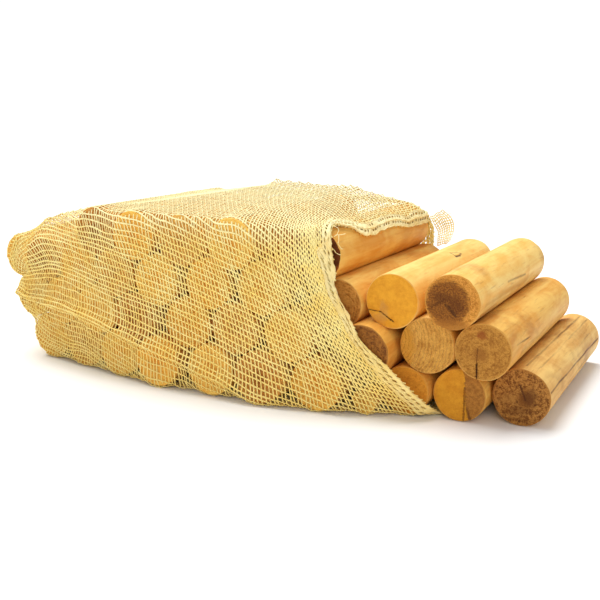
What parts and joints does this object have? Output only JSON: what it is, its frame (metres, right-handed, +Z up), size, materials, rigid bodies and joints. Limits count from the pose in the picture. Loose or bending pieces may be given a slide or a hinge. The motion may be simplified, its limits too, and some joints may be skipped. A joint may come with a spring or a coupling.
{
  "type": "firewood bundle",
  "caption": "Open-weave net bag of peeled round firewood logs lying on its side, with logs showing at its open mouth.",
  "frame": {"origin": "under the middle of the whole object, on the surface that it lies on", "axes": "+X runs along the bag from its closed end to its mouth; +Y runs along the logs, away from the side that the picture shows; +Z is up"},
  "size_m": [0.6485, 0.3142, 0.203],
  "materials": {
    "wood_golden": "matte",
    "wood_pale": "matte",
    "wood_amber": "matte",
    "wood_straw": "matte",
    "net": "matte",
    "hem": "matte"
  },
  "bodies": {
    "root": {"log_row1_01": "wood_golden", "log_row1_02": "wood_pale", "log_row1_03": "wood_amber", "log_row1_04": "wood_straw", "log_row1_05": "wood_golden", "log_row1_06": "wood_pale", "log_row1_07": "wood_amber", "log_row1_08": "wood_straw", "log_row1_09": "wood_golden", "log_row1_10": "wood_pale", "log_row2_01": "wood_amber", "log_row2_02": "wood_straw", "log_row2_03": "wood_golden", "log_row2_04": "wood_pale", "log_row2_05": "wood_amber", "log_row2_06": "wood_straw", "log_row2_07": "wood_golden", "log_row2_08": "wood_pale", "log_row2_09": "wood_amber", "log_row2_10": "wood_straw", "log_row3_01": "wood_golden", "log_row3_02": "wood_pale", "log_row3_03": "wood_amber", "log_row3_04": "wood_straw", "log_row3_05": "wood_golden", "log_row3_06": "wood_pale", "log_row3_07": "wood_amber", "log_row3_08": "wood_straw", "log_row3_09": "wood_golden", "log_row3_10": "wood_pale", "log_row4_01": "wood_amber", "log_row4_02": "wood_straw", "log_row4_03": "wood_golden", "log_row4_04": "wood_pale", "log_row4_05": "wood_amber", "thin_stick": "wood_straw", "net_bag": "net", "mouth_hem": "hem"}
  },
  "joints": []
}
